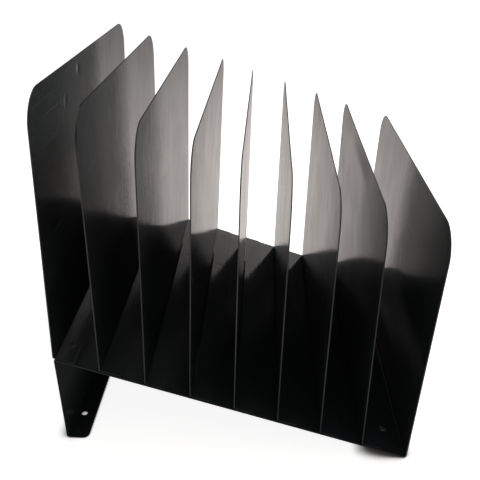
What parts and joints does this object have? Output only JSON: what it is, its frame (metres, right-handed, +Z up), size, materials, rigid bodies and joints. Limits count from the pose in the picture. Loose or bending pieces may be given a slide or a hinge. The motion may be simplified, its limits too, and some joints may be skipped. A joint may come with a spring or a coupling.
{
  "type": "desktop file sorter",
  "caption": "Desktop incline file sorter of black enamelled sheet steel: upright round-cornered dividers on a sloping floor, carried by a leg at its raised end.",
  "frame": {"origin": "on the desk, below the middle of the sorter's bounding box", "axes": "+X across the slots, from the raised end to the low end; +Y along the slots, from the front to the back; +Z up"},
  "size_m": [0.2948, 0.305, 0.3007],
  "materials": {
    "base_sheet_enamel": "glossy black enamel",
    "divider_1_enamel": "glossy black enamel",
    "divider_2_enamel": "glossy black enamel",
    "divider_3_enamel": "glossy black enamel",
    "divider_4_enamel": "glossy black enamel",
    "divider_5_enamel": "glossy black enamel",
    "divider_6_enamel": "glossy black enamel",
    "divider_7_enamel": "glossy black enamel",
    "divider_8_enamel": "glossy black enamel"
  },
  "bodies": {
    "root": {"base_sheet": "base_sheet_enamel", "divider_1": "divider_1_enamel", "divider_2": "divider_2_enamel", "divider_3": "divider_3_enamel", "divider_4": "divider_4_enamel", "divider_5": "divider_5_enamel", "divider_6": "divider_6_enamel", "divider_7": "divider_7_enamel", "divider_8": "divider_8_enamel"}
  },
  "joints": []
}
